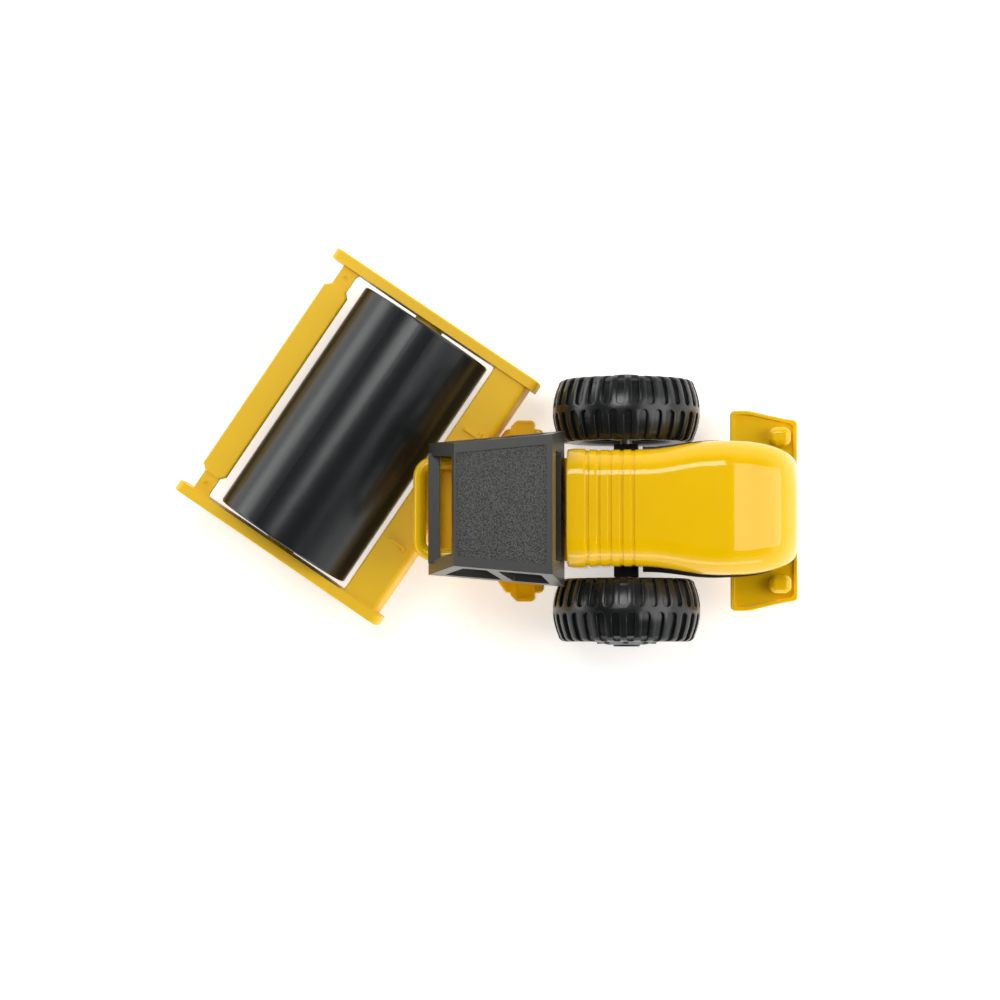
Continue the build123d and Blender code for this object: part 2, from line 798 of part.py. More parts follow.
# --------------------------------------------------------------------- cab
def cab_deck():
    """Deck under the cab, with a low rim that the cab stands on."""
    deck = block(
        -deck_half_width, deck_half_width, -deck_front, deck_rear, deck_bottom, sill_bottom
    )
    deck = fillet(upright_edges(deck), deck_corner_radius)
    deck -= block(
        -deck_half_width + deck_rim_width,
        deck_half_width - deck_rim_width,
        -deck_front - past,
        deck_rear - deck_rim_width,
        deck_top,
        sill_bottom + past,
    )
    for side in (-1, 1):
        x = side * (rail_half_width - rail_tube_radius)
        peg_y = rail_rear - rail_tube_radius - rail_corner_radius
        deck -= post(x, peg_y, deck_top - rail_peg_depth, deck_top + past, rail_peg_radius)
    return deck


def cab_outline(z, inset=0.0):
    """Outline of the cab at a height, between its sills and its roof."""
    share = (z - sill_bottom) / cab_height
    front = -cab_front + share * (cab_front - roof_front) + inset
    rear = cab_rear + share * (roof_rear - cab_rear) - inset
    base = cab_sill_half_width + share * (roof_half_width - cab_sill_half_width)
    start = -cab_front + share * (cab_front - roof_front)
    front_half = base + cab_side_flare * (front - start) - inset
    rear_half = base + cab_side_flare * (rear - start) - inset
    points = [(-front_half, front), (front_half, front), (rear_half, rear), (-rear_half, rear)]
    return Pos(0, 0, z) * make_face(Polyline(*points, close=True))


def cab_body(z0, z1, inset=0.0):
    """Tapered block of the cab between two heights."""
    return loft([cab_outline(z0, inset), cab_outline(z1, inset)], ruled=True)


def roof_panel():
    """Shallow panel sunk into the roof, rounded at its corners."""
    front = -roof_front + roof_panel_front
    rear = roof_rear - roof_panel_rear
    front_half = roof_half_width + cab_side_flare * roof_panel_front - roof_panel_side
    rear_half = front_half + cab_side_flare * (rear - front)
    points = [(-front_half, front), (front_half, front), (rear_half, rear), (-rear_half, rear)]
    outline = make_face(Polyline(*points, close=True))
    outline = fillet(outline.vertices(), roof_panel_corner)
    return Pos(0, 0, roof_top - roof_panel_depth) * extrude(outline, roof_panel_depth + past)


def cab_frame():
    """Roof, pillars and sills of the cab, open at the windows and below."""
    window_bottom = sill_top
    window_top = roof_top - roof_thickness - pane_edge
    frame = cab_body(sill_bottom, roof_top)
    frame -= cab_body(sill_bottom - past, sill_top, sill_wall)
    frame -= cab_body(sill_top - seat_gap, roof_top - roof_thickness, cab_wall)
    reach = cab_sill_half_width + cab_side_flare * (cab_front + cab_rear) + past

    def across(y_bottom_front, y_bottom_rear, y_top_front, y_top_rear):
        points = [
            (y_bottom_front, window_bottom),
            (y_bottom_rear, window_bottom),
            (y_top_rear, window_top),
            (y_top_front, window_top),
        ]
        return side_prism(side_face(points, window_corner_radius), -reach, reach)

    def front_edge(z):
        share = (z - sill_bottom) / cab_height
        return -cab_front + share * (cab_front - roof_front)

    def rear_edge(z):
        share = (z - sill_bottom) / cab_height
        return cab_rear + share * (roof_rear - cab_rear)

    half_middle = middle_pillar_width / 2
    frame -= across(
        front_edge(window_bottom) + pillar_width,
        middle_pillar_foot - half_middle,
        front_edge(window_top) + pillar_width,
        middle_pillar_top - half_middle,
    )
    frame -= across(
        middle_pillar_foot + half_middle,
        rear_edge(window_bottom) - pillar_width,
        middle_pillar_top + half_middle,
        rear_edge(window_top) - pillar_width,
    )
    sill_edge = cab_sill_half_width - pillar_width - sill_edge_inset
    roof_edge = roof_half_width - pillar_width
    front_opening = [
        (-sill_edge, sill_top),
        (sill_edge, sill_top),
        (roof_edge, roof_top - roof_thickness),
        (-roof_edge, roof_top - roof_thickness),
    ]
    opening = extrude(Plane.XZ * make_face(Polyline(*front_opening, close=True)), cab_front + past)
    frame -= opening
    beam_half = sill_edge + 2 * sill_edge_inset
    frame -= block(
        -beam_half,
        beam_half,
        -cab_front - past,
        -roof_front,
        sill_bottom - past,
        sill_top,
    )
    rear_half = roof_half_width - rear_window_margin
    rear_window = block(
        -rear_half,
        rear_half,
        roof_rear - pillar_width,
        cab_rear + past,
        sill_top + rear_window_sill,
        window_top - rear_window_head,
    )
    frame -= fillet(rear_window.edges().filter_by(Axis.Y), window_corner_radius)
    frame -= roof_panel()
    beam_front = -cab_front + front_beam_inset
    beam = block(
        -beam_half - overlap,
        beam_half + overlap,
        beam_front,
        beam_front + front_beam_depth,
        sill_top - front_beam_height,
        sill_top,
    )
    return frame + beam


def front_handrail():
    """Closed rounded loop of tube ahead of and under the cab's front beam."""
    half = rail_half_width - rail_tube_radius
    front = -rail_front + rail_tube_radius
    rear = rail_rear - rail_tube_radius
    loop = RectangleRounded(2 * half, rear - front, rail_corner_radius)
    loop = Pos(0, (front + rear) / 2, rail_height) * loop
    path = loop.wire()
    start = path.position_at(0)
    section = Plane(origin=start, z_dir=path.tangent_at(0)) * Circle(rail_tube_radius)
    rail = sweep(section, path=path)
    for side in (-1, 1):
        peg_y = rail_rear - rail_tube_radius - rail_corner_radius
        rail += post(side * half, peg_y, deck_top - rail_peg_depth, rail_height, rail_peg_radius)
    return rail


def operator_console():
    """Dash with a sloped top at the front of the cab."""
    points = [
        (-console_front, deck_top),
        (-console_front, deck_top + console_height - console_slope),
        (-console_front + console_bevel, deck_top + console_height),
        (console_rear, deck_top + console_height - console_slope),
        (console_rear, deck_top),
    ]
    console = side_prism(side_face(points), -console_half_width, console_half_width)
    console = fillet(console.edges().filter_by(Axis.X).group_by(Axis.Z)[-1], console_round)
    return console - steering_column()


def steering_column():
    """Leaning column that seats in the console."""
    place = Pos(0, -column_setback, deck_top + console_height - column_seat) * Rot(-column_tilt, 0, 0)
    return place * post(0, 0, 0, column_length, column_radius)


def steering_wheel():
    """Ring, two spokes and column."""
    place = Pos(0, -column_setback, deck_top + console_height - column_seat) * Rot(-column_tilt, 0, 0)
    ring = Pos(0, 0, column_length) * Torus(wheel_ring_radius, wheel_ring_tube)
    spoke = block(
        -wheel_ring_radius,
        wheel_ring_radius,
        -wheel_spoke_width / 2,
        wheel_spoke_width / 2,
        column_length - wheel_spoke_thickness / 2,
        column_length + wheel_spoke_thickness / 2,
    )
    return steering_column() + place * (ring + spoke)


def operator_seat():
    """Seat block with its backrest."""
    base = block(
        -seat_half_width,
        seat_half_width,
        seat_front,
        seat_front + seat_depth,
        deck_top,
        deck_top + seat_height,
    )
    base = fillet(base.faces().sort_by(Axis.Z)[-1].edges(), seat_round)
    back = block(
        -seat_half_width,
        seat_half_width,
        seat_front + seat_depth - seat_back_thickness,
        seat_front + seat_depth,
        deck_top,
        deck_top + seat_back_height,
    )
    back = fillet(back.faces().sort_by(Axis.Z)[-1].edges(), seat_round)
    return base + back


# ------------------------------------------------------------------- steps
def swung_yoke_at(x):
    """How far behind the hitch pin the swung yoke and its clearance reach, at x from the middle."""
    return x * math.tan(stop) - (beam_rear - side_gap) / math.cos(stop)


def step(side):
    """Step block on the chassis' side: two rounded wings and a tread block."""
    x0 = chassis_half_width
    wing_top = deck_bottom - step_drop + step_wing_height / 2
    wing_bottom = wing_top - step_wing_height
    reach = x0 + step_reach
    front = max(step_front, swung_yoke_at(x0 + step_shoulder))
    outline = [
        (x0, front),
        (x0 + step_shoulder, front),
        (reach, max(swung_yoke_at(reach), front) + step_corner_length),
        (reach, step_rear),
        (x0, step_rear),
    ]
    wings = plan_prism(outline, wing_bottom, wing_top)
    wings = fillet(upright_edges(wings).group_by(Axis.X)[-1], step_wing_round)
    wings = fillet(wings.faces().sort_by(Axis.Z)[-1].edges(), step_wing_top_round)
    tread_top = wing_top + tread_rise
    tread_front = front + tread_front_inset
    tread_rear = step_rear - tread_rear_inset
    tread_outline = [
        (x0, tread_front),
        (x0 + tread_reach - tread_corner_cut, tread_front),
        (x0 + tread_reach, tread_front + tread_corner_cut),
        (x0 + tread_reach, tread_rear),
        (x0, tread_rear),
    ]
    tread = plan_prism(tread_outline, tread_top - tread_height, tread_top)
    tread = fillet([e for e in upright_edges(tread) if e.center().X > x0 + tread_rim], step_round)
    tread -= block(
        x0 + tread_recess_start,
        x0 + tread_reach - tread_rim,
        tread_front + tread_rim + tread_corner_cut / 2,
        tread_rear - tread_rim,
        tread_top - tread_recess,
        tread_top + past,
    )
    shape = wings + tread
    if side < 0:
        shape = mirror(shape, about=Plane.YZ)
    return shape


# ----------------------------------------------------------- hood, engine
def hood_half_width_at(y):
    """Half width of the hood: straight, flaring, then round at the rear."""
    wide = hood_half_width + hood_flare
    if y <= hood_step:
        return hood_half_width
    if y <= hood_flare_end:
        share = (y - hood_step) / (hood_flare_end - hood_step)
        return hood_half_width + hood_flare * (1 - math.cos(math.pi * share)) / 2
    if y <= hood_corner_start:
        return wide
    share = min((y - hood_corner_start) / (hood_rear - hood_corner_start), 1)
    return wide - hood_corner_inset * (1 - math.sqrt(1 - share**2))


def hood_top_at(y):
    """Height of the hood's top: flat, sloping, then rounding down to its tail."""
    if y <= hood_slope_start:
        return hood_top
    slope = hood_slope_drop / (hood_slope_end - hood_slope_start)
    if y <= hood_slope_end:
        return hood_top - slope * (y - hood_slope_start)
    share = min((y - hood_slope_end) / (hood_rear - hood_slope_end), 1)
    straight = slope * (hood_rear - hood_slope_end)
    tail_drop = hood_top - hood_slope_drop - hood_rear_bottom - hood_tail_rise
    round_drop = (tail_drop - straight) * (1 - math.sqrt(1 - share**2))
    return hood_top - hood_slope_drop - straight * share - round_drop


def hood_section(y, inset, y_shape):
    """Cross section of the hood at y, with the size it has at y_shape."""
    half = hood_half_width_at(y_shape) - inset
    top = hood_top_at(y_shape) - inset
    bottom = hood_front_bottom - inset - past * (inset > 0)
    radius = hood_round - inset
    corner = radius * (1 - math.sqrt(0.5))
    outline = [
        Line((-half, bottom), (half, bottom)),
        Line((half, bottom), (half, top - radius)),
        ThreePointArc(
            (half, top - radius), (half - corner, top - corner), (half - radius, top)
        ),
        Line((half - radius, top), (radius - half, top)),
        ThreePointArc(
            (radius - half, top), (corner - half, top - corner), (-half, top - radius)
        ),
        Line((-half, top - radius), (-half, bottom)),
    ]
    plane = Plane(origin=(0, y, 0), x_dir=(1, 0, 0), z_dir=(0, -1, 0))
    return plane * make_face(outline)


def hood_stations():
    """Places along the hood where its section is drawn, closer at the rear."""
    straight = [hood_front + share * (hood_step - hood_front) for share in (0, 0.35, 0.7, 1)]
    flare = [hood_step + share * (hood_slope_start - hood_step) for share in (0.2, 0.4, 0.6, 0.8, 1)]
    slope = [hood_slope_start + share * (hood_slope_end - hood_slope_start) for share in (0.33, 0.67, 1)]
    tail_length = hood_rear - hood_slope_end
    tail = [hood_slope_end + tail_length * math.sin(math.radians(turn)) for turn in (25, 45, 62, 76, 90)]
    return straight + flare + slope + tail


def hood_body(inset=0.0):
    """Solid shape of the hood, drawn in on all sides by the inset."""
    squeeze = (hood_rear - hood_front - 2 * inset) / (hood_rear - hood_front)
    sections = [
        hood_section(hood_front + inset + (y - hood_front) * squeeze, inset, y)
        for y in hood_stations()
    ]
    return loft(sections)


def hood():
    """Engine hood: thin shell, open below, with louvre grooves behind the cab."""
    shell = hood_body() - hood_body(hood_wall)
    reach = hood_half_width + hood_flare + past
    shell -= block(
        -reach, reach, hood_step, hood_rear + past, hood_front_bottom - past, hood_rear_bottom
    )
    shell -= block(
        -chassis_half_width - seat_gap,
        chassis_half_width + seat_gap,
        hood_front - past,
        hood_front + hood_wall + past,
        hood_front_bottom - past,
        deck_bottom + seat_gap,
    )
    for index in range(groove_count):
        y = hood_front + groove_setback + index * groove_pitch
        core = extrude(hood_section(y, groove_depth, y), groove_width, both=True)
        slab = block(
            -reach, reach, y - groove_width / 2, y + groove_width / 2, 0, hood_top + past
        )
        shell -= slab - core
    return shell


def engine_frame():
    """Black frame round the chassis' rear, that the hood's skirt stands on."""
    z1 = hood_rear_bottom
    z0 = z1 - frame_height
    steps = 12
    side_ys = [hood_step + (frame_rear - hood_step) * index / steps for index in range(steps + 1)]
    lips = [
        frame_lip_front + (frame_lip_rear - frame_lip_front) * index / steps
        for index in range(steps + 1)
    ]
    left = Spline(*[(hood_half_width_at(y) + lip, y) for y, lip in zip(side_ys, lips)])
    right = mirror(left, about=Plane.YZ)
    outline = make_face([left, right, Line(left @ 0, right @ 0), Line(left @ 1, right @ 1)])
    frame = Pos(0, 0, z0) * extrude(outline, frame_height)
    frame -= block(
        -chassis_half_width - seat_gap,
        chassis_half_width + seat_gap,
        hood_step - past,
        chassis_rear + seat_gap,
        z0 - past,
        deck_bottom + seat_gap,
    )
    stand_front = bumper_front + bumper_rim_width + seat_gap
    stand = block(-stand_half_width, stand_half_width, stand_front, frame_rear, bumper_top, z1)
    return frame + stand


def radiator_grille():
    """Slotted black panel under the hood's rear edge."""
    y1 = hood_rear - grille_inset
    panel = block(
        -grille_half_width,
        grille_half_width,
        y1 - grille_thickness,
        y1,
        bumper_top,
        hood_rear_bottom + seat_gap,
    )
    height = hood_rear_bottom - bumper_top - bumper_rim_height
    pitch = height / (grille_slot_count + 1)
    for index in range(grille_slot_count):
        z = bumper_top + bumper_rim_height + pitch * (index + 1)
        panel -= block(
            -grille_half_width + grille_edge,
            grille_half_width - grille_edge,
            y1 - grille_slot_depth,
            y1 + past,
            z - grille_slot_height / 2,
            z + grille_slot_height / 2,
        )
    return panel


# ------------------------------------------------------------ rear bumper
def bumper_outline(inset=0.0):
    """Plan outline of the bumper, its outer edges bending in to the rear."""
    left = [
        (bumper_front_half_width - inset, bumper_front + inset),
        (bumper_front_half_width - inset, bumper_front + bumper_bend_inset),
        (bumper_rear_half_width + bumper_bend_step - inset, bumper_rear - bumper_tail_inset),
        (bumper_rear_half_width - inset, bumper_rear - inset),
    ]
    right = [(-x, y) for x, y in reversed(left)]
    face = make_face(Polyline(*(left + right), close=True))
    corners = face.vertices().group_by(Axis.Y)
    face = fillet(corners[0] + corners[-1], bumper_round)
    bend_places = (bumper_front + bumper_bend_inset, bumper_rear - bumper_tail_inset)
    bends = [v for v in face.vertices() if min(abs(v.Y - y) for y in bend_places) < 0.01]
    return fillet(bends, bumper_bend_radius)


def rear_bumper():
    """Bumper plate with a raised rim, hollow below, and two light posts."""
    body = Pos(0, 0, bumper_bottom) * extrude(
        bumper_outline(), bumper_top + bumper_rim_height - bumper_bottom
    )
    body = fillet(body.faces().sort_by(Axis.Z)[-1].edges(), bumper_rim_round)
    floor_cut = extrude(bumper_outline(bumper_rim_width), bumper_rim_height + past)
    body -= Pos(0, 0, bumper_top) * floor_cut
    hollow = extrude(bumper_outline(bumper_wall), bumper_height - bumper_wall + past)
    body -= Pos(0, 0, bumper_bottom - past) * hollow
    light = block(
        light_inner,
        light_outer,
        light_rear - light_length,
        light_rear,
        bumper_top - light_foot,
        bumper_top + light_height,
    )
    light = fillet(upright_edges(light), light_round)
    light = fillet(light.faces().sort_by(Axis.Z)[-1].edges(), light_dome_round)
    arm = block(
        -arm_half_width,
        arm_half_width,
        chassis_rear,
        bumper_front + arm_reach,
        bumper_bottom + arm_lift,
        bumper_top,
    )
    return body + both_sides(light) + arm


# ---------------------------------------------------------------- assembly
drum_pieces = {
    "drum_shell_front": drum_shell(1),
    "drum_shell_rear": drum_shell(-1),
    "drum_disc_left": drum_disc(),
    "drum_disc_right": mirror(drum_disc(), about=Plane.YZ),
}
yoke_pieces = {
    "drum_yoke": drum_yoke(),
    "drum_pin_left": drum_pin(),
    "drum_pin_right": mirror(drum_pin(), about=Plane.YZ),
    "hitch_bush": hitch_bush(),
}
wheel_pieces = {
    "rear_axle": rear_axle(),
    "tyre_left": tyre(1),
    "tyre_right": tyre(-1),
    "rim_left": rim(1),
    "rim_right": rim(-1),
    "hub_cap_left": hub_cap(1),
    "hub_cap_right": hub_cap(-1),
}
tractor_pieces = {
    "rear_chassis": rear_chassis(),
    "chassis_cover": chassis_cover(),
    "cover_screws": cover_screws(),
    "hitch_pin": hitch_pin(),
    "hitch_circlip": hitch_circlip(),
    "axle_housing": axle_housing(),
    "cab_deck": cab_deck(),
    "cab_frame": cab_frame(),
    "front_handrail": front_handrail(),
    "operator_console": operator_console(),
    "steering_wheel": steering_wheel(),
    "operator_seat": operator_seat(),
    "step_left": step(1),
    "step_right": step(-1),
    "hood": hood(),
    "engine_frame": engine_frame(),
    "radiator_grille": radiator_grille(),
    "rear_bumper": rear_bumper(),
}

swing = Rot(0, 0, -steering_stop)
posed = {}
for pieces, place in (
    (drum_pieces, swing),
    (yoke_pieces, swing),
    (wheel_pieces, Pos(0, 0, 0)),
    (tractor_pieces, Pos(0, 0, 0)),
):
    for name, shape in pieces.items():
        group = shape if isinstance(shape, list) else [shape]
        posed[name] = [place * solid for piece in group for solid in piece.solids()]

boxes = [solid.bounding_box() for solids in posed.values() for solid in solids]
low = [min(getattr(box.min, axis) for box in boxes) for axis in "XY"]
high = [max(getattr(box.max, axis) for box in boxes) for axis in "XY"]
hitch_x = -(low[0] + high[0]) / 2
hitch_y = -(low[1] + high[1]) / 2

os.makedirs("parts", exist_ok=True)
for name, solids in posed.items():
    centred = [Pos(hitch_x, hitch_y, 0) * solid for solid in solids]
    export_step(Compound(label=name, children=centred), f"parts/{name}.step")
print(f"hitch pin at {hitch_x:.3f}, {hitch_y:.3f}")
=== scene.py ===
import json
import math

import bpy
from mathutils import Matrix, Vector


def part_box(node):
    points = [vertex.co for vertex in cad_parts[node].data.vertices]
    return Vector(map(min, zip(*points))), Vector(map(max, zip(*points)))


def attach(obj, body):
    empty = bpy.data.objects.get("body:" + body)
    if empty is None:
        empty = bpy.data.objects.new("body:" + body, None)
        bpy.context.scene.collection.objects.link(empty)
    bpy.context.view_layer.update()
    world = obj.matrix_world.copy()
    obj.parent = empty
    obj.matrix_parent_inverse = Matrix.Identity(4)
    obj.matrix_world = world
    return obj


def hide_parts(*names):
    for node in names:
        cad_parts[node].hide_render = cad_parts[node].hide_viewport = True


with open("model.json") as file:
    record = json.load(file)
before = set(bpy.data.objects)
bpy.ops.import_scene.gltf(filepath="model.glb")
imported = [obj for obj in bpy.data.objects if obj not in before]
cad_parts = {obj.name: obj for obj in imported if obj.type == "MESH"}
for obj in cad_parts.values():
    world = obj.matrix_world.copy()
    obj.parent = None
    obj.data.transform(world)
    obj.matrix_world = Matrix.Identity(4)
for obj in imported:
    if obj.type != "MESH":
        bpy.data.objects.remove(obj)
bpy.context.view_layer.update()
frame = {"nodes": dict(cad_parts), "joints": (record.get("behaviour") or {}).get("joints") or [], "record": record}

# --------------------------------------------------------------- the frame
# Sizes of pieces are in millimetres. The tyres are modelled about the X axis and are
# scaled to metres as they settle into the frame. The floor and the lights stand about the
# origin and the camera about the hitch pin, all in metres.
MM = 0.001
joints = {joint["name"]: joint for joint in frame["joints"]}
hitch = Vector(joints["steering"]["pos_m"])
hitch.z = 0
body_of = {
    node: body
    for body, members in frame["record"]["behaviour"]["bodies"].items()
    for node in members
}
slot_of = {part["node"]: part["material_slot"] for part in frame["record"]["subparts"]}


# --------------------------------------------------------------- materials
GRAIN_DETAIL = 3.0
GRAIN_HEIGHT = 0.1 * MM
SLOW_SCALE = 120.0           # of the unevenness and the mottle, per metre
SLOW_DETAIL = 2.0
SLOW_HEIGHT = 1.0 * MM
SPECKLE_RANGE = (0.35, 0.65)  # grain values that give the darkest and the lightest speck


def group_socket(tree, name, kind, direction, value=None):
    """Adds an input or output to a node group, with its value where nothing is plugged in."""
    socket = tree.interface.new_socket(name=name, in_out=direction, socket_type=kind)
    if value is not None:
        socket.default_value = value


def moulded_surface_group():
    """Moulded skin: fine grain, slow unevenness, a soft mottle of tone and specks."""
    tree = bpy.data.node_groups.new("moulded surface", "ShaderNodeTree")
    group_socket(tree, "Color", "NodeSocketColor", "INPUT", (0.8, 0.8, 0.8, 1))
    group_socket(tree, "Roughness", "NodeSocketFloat", "INPUT", 0.4)
    group_socket(tree, "Grain Size", "NodeSocketFloat", "INPUT", 4000.0)
    group_socket(tree, "Grain", "NodeSocketFloat", "INPUT", 0.1)
    group_socket(tree, "Waviness", "NodeSocketFloat", "INPUT", 0.05)
    group_socket(tree, "Mottle", "NodeSocketFloat", "INPUT", 0.05)
    group_socket(tree, "Speckle", "NodeSocketFloat", "INPUT", 0.0)
    group_socket(tree, "Color", "NodeSocketColor", "OUTPUT")
    group_socket(tree, "Roughness", "NodeSocketFloat", "OUTPUT")
    group_socket(tree, "Normal", "NodeSocketVector", "OUTPUT")
    nodes, links = tree.nodes, tree.links
    given = nodes.new("NodeGroupInput")
    result = nodes.new("NodeGroupOutput")
    place = nodes.new("ShaderNodeTexCoord")

    grain = nodes.new("ShaderNodeTexNoise")
    grain.inputs["Detail"].default_value = GRAIN_DETAIL
    links.new(place.outputs["Object"], grain.inputs["Vector"])
    links.new(given.outputs["Grain Size"], grain.inputs["Scale"])
    slow = nodes.new("ShaderNodeTexNoise")
    slow.inputs["Scale"].default_value = SLOW_SCALE
    slow.inputs["Detail"].default_value = SLOW_DETAIL
    links.new(place.outputs["Object"], slow.inputs["Vector"])

    grain_bump = nodes.new("ShaderNodeBump")
    grain_bump.inputs["Distance"].default_value = GRAIN_HEIGHT
    links.new(given.outputs["Grain"], grain_bump.inputs["Strength"])
    links.new(grain.outputs["Fac"], grain_bump.inputs["Height"])
    slow_bump = nodes.new("ShaderNodeBump")
    slow_bump.inputs["Distance"].default_value = SLOW_HEIGHT
    links.new(given.outputs["Waviness"], slow_bump.inputs["Strength"])
    links.new(slow.outputs["Fac"], slow_bump.inputs["Height"])
    links.new(grain_bump.outputs["Normal"], slow_bump.inputs["Normal"])
    links.new(slow_bump.outputs["Normal"], result.inputs["Normal"])

    spread = nodes.new("ShaderNodeMath")
    spread.operation = "MULTIPLY_ADD"
    spread.inputs[1].default_value = 2.0
    spread.inputs[2].default_value = -1.0
    links.new(slow.outputs["Fac"], spread.inputs[0])
    tone = nodes.new("ShaderNodeMath")
    tone.operation = "MULTIPLY_ADD"
    tone.inputs[2].default_value = 1.0
    links.new(spread.outputs[0], tone.inputs[0])
    links.new(given.outputs["Mottle"], tone.inputs[1])
    speckle = nodes.new("ShaderNodeMapRange")
    speckle.inputs["From Min"].default_value = SPECKLE_RANGE[0]
    speckle.inputs["From Max"].default_value = SPECKLE_RANGE[1]
    speckle.inputs["To Min"].default_value = -1.0
    speckle.inputs["To Max"].default_value = 1.0
    links.new(grain.outputs["Fac"], speckle.inputs["Value"])
    grained = nodes.new("ShaderNodeMath")
    grained.operation = "MULTIPLY_ADD"
    links.new(speckle.outputs["Result"], grained.inputs[0])
    links.new(given.outputs["Speckle"], grained.inputs[1])
    links.new(tone.outputs[0], grained.inputs[2])
    toned = nodes.new("ShaderNodeVectorMath")
    toned.operation = "SCALE"
    links.new(given.outputs["Color"], toned.inputs[0])
    links.new(grained.outputs[0], toned.inputs["Scale"])
    links.new(toned.outputs[0], result.inputs["Color"])
    rough = nodes.new("ShaderNodeMath")
    rough.operation = "MULTIPLY"
    links.new(given.outputs["Roughness"], rough.inputs[0])
    links.new(tone.outputs[0], rough.inputs[1])
    links.new(rough.outputs[0], result.inputs["Roughness"])
    return tree


MOULDED = moulded_surface_group()


def skinned_material(name, color, roughness):
    """A material whose colour, roughness and normal come through the moulded surface group."""
    material = bpy.data.materials.new(name)
    material.use_nodes = True
    nodes, links = material.node_tree.nodes, material.node_tree.links
    shader = nodes["Principled BSDF"]
    skin = nodes.new("ShaderNodeGroup")
    skin.node_tree = MOULDED
    skin.inputs["Color"].default_value = (*color, 1)
    skin.inputs["Roughness"].default_value = roughness
    links.new(skin.outputs["Color"], shader.inputs["Base Color"])
    links.new(skin.outputs["Roughness"], shader.inputs["Roughness"])
    links.new(skin.outputs["Normal"], shader.inputs["Normal"])
    return material, skin, shader


def moulded(name, color, roughness, grain=0.1, grain_size=4000.0, waviness=0.03,
            mottle=0.04, coat=0.0, coat_roughness=0.1, specular=0.5):
    """Plastic or rubber with its own relief, mottle and gloss."""
    material, skin, shader = skinned_material(name, color, roughness)
    skin.inputs["Grain"].default_value = grain
    skin.inputs["Grain Size"].default_value = grain_size
    skin.inputs["Waviness"].default_value = waviness
    skin.inputs["Mottle"].default_value = mottle
    shader.inputs["Coat Weight"].default_value = coat
    shader.inputs["Coat Roughness"].default_value = coat_roughness
    shader.inputs["Specular IOR Level"].default_value = specular
    return material


def metal(name, color, roughness):
    """Bare metal with the surface group's own grain and mottle."""
    material, _, shader = skinned_material(name, color, roughness)
    shader.inputs["Metallic"].default_value = 1.0
    return material


def grained_panel(material, node, depth, speckle, relief):
    """Adds specks and relief to a material, only on the node's panel sunk below its top."""
    nodes, links = material.node_tree.nodes, material.node_tree.links
    place = nodes.new("ShaderNodeTexCoord")
    split = nodes.new("ShaderNodeSeparateXYZ")
    level = nodes.new("ShaderNodeMath")
    level.operation = "COMPARE"
    level.inputs[1].default_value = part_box(node)[1][2] - depth * MM
    level.inputs[2].default_value = depth * MM / 2
    links.new(place.outputs["Object"], split.inputs[0])
    links.new(split.outputs["Z"], level.inputs[0])
    skin = next(n for n in nodes if n.type == "GROUP")
    for socket, amount in (("Speckle", speckle), ("Grain", relief)):
        strength = nodes.new("ShaderNodeMath")
        strength.operation = "MULTIPLY_ADD"
        strength.inputs[1].default_value = amount
        strength.inputs[2].default_value = skin.inputs[socket].default_value
        links.new(level.outputs[0], strength.inputs[0])
        links.new(strength.outputs[0], skin.inputs[socket])


ROOF_PANEL_DEPTH = 0.4
FINISHES = {
    "yoke_yellow": moulded("satin yellow", (0.93, 0.56, 0.01), 0.42, grain=0.15, waviness=0.02,
                           specular=0.3),
    "gloss_yellow": moulded("glossy yellow", (0.93, 0.55, 0.0), 0.2, grain=0.03, coat=0.6,
                            coat_roughness=0.04, specular=0.2),
    "drum_black": moulded("drum black", (0.009, 0.011, 0.012), 0.25, grain=0.12, grain_size=3000.0),
    "cab_black": moulded("grained dark grey", (0.042, 0.042, 0.038), 0.36, grain=0.12,
                         grain_size=2600.0, mottle=0.05),
    "frame_black": moulded("plain black", (0.012, 0.012, 0.012), 0.4),
    "tyre_rubber": moulded("soft black", (0.01, 0.011, 0.011), 0.25, grain=0.12, mottle=0.3),
    "steel": metal("drawn steel", (0.62, 0.62, 0.62), 0.32),
    "bush_brass": metal("turned brass", (0.78, 0.58, 0.26), 0.35),
}
grained_panel(FINISHES["cab_black"], "cab_frame", ROOF_PANEL_DEPTH, speckle=1.0, relief=1.0)

for name, slot in slot_of.items():
    node = frame["nodes"][name]
    node.data.materials.clear()
    node.data.materials.append(FINISHES[slot])


# --------------------------------------------------------- modelling tools
WELD_DISTANCE = 0.002        # mm, closes the seams between the faces of a mesh
FLAT_ANGLE = 0.4             # degrees, faces this close to one plane become one face
EDGE_ANGLE = 32              # degrees, edges sharper than this are rounded
ROUND_SEGMENTS = 2
SMOOTH_ANGLE = 40            # degrees, edges sharper than this stay crisp
FACE_WEIGHT = 60             # how far large faces keep their own normal


def only(piece):
    """Selects the piece alone and makes it active."""
    bpy.ops.object.select_all(action="DESELECT")
    piece.select_set(True)
    bpy.context.view_layer.objects.active = piece


def start_selection(piece, kind):
    """Leaves the piece in object mode with nothing selected, ready to choose by kind."""
    only(piece)
    bpy.ops.object.mode_set(mode="EDIT")
    bpy.ops.mesh.select_mode(type=kind)
    bpy.ops.mesh.select_all(action="DESELECT")
    bpy.ops.object.mode_set(mode="OBJECT")


def apply_modifier(piece, kind, **settings):
    """Adds a modifier with its settings and applies it; the piece is left selected."""
    modifier = piece.modifiers.new(kind.title(), kind)
    for name, value in settings.items():
        setattr(modifier, name, value)
    only(piece)
    bpy.ops.object.modifier_apply(modifier=modifier.name)


def finish_piece(piece, *replaced):
    """Gives a finished piece the material of its node's slot and its body, and hides what it stands for."""
    node = replaced[0]
    piece.data.materials.clear()
    piece.data.materials.append(FINISHES[slot_of[node]])
    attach(piece, body_of[node])
    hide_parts(*replaced)


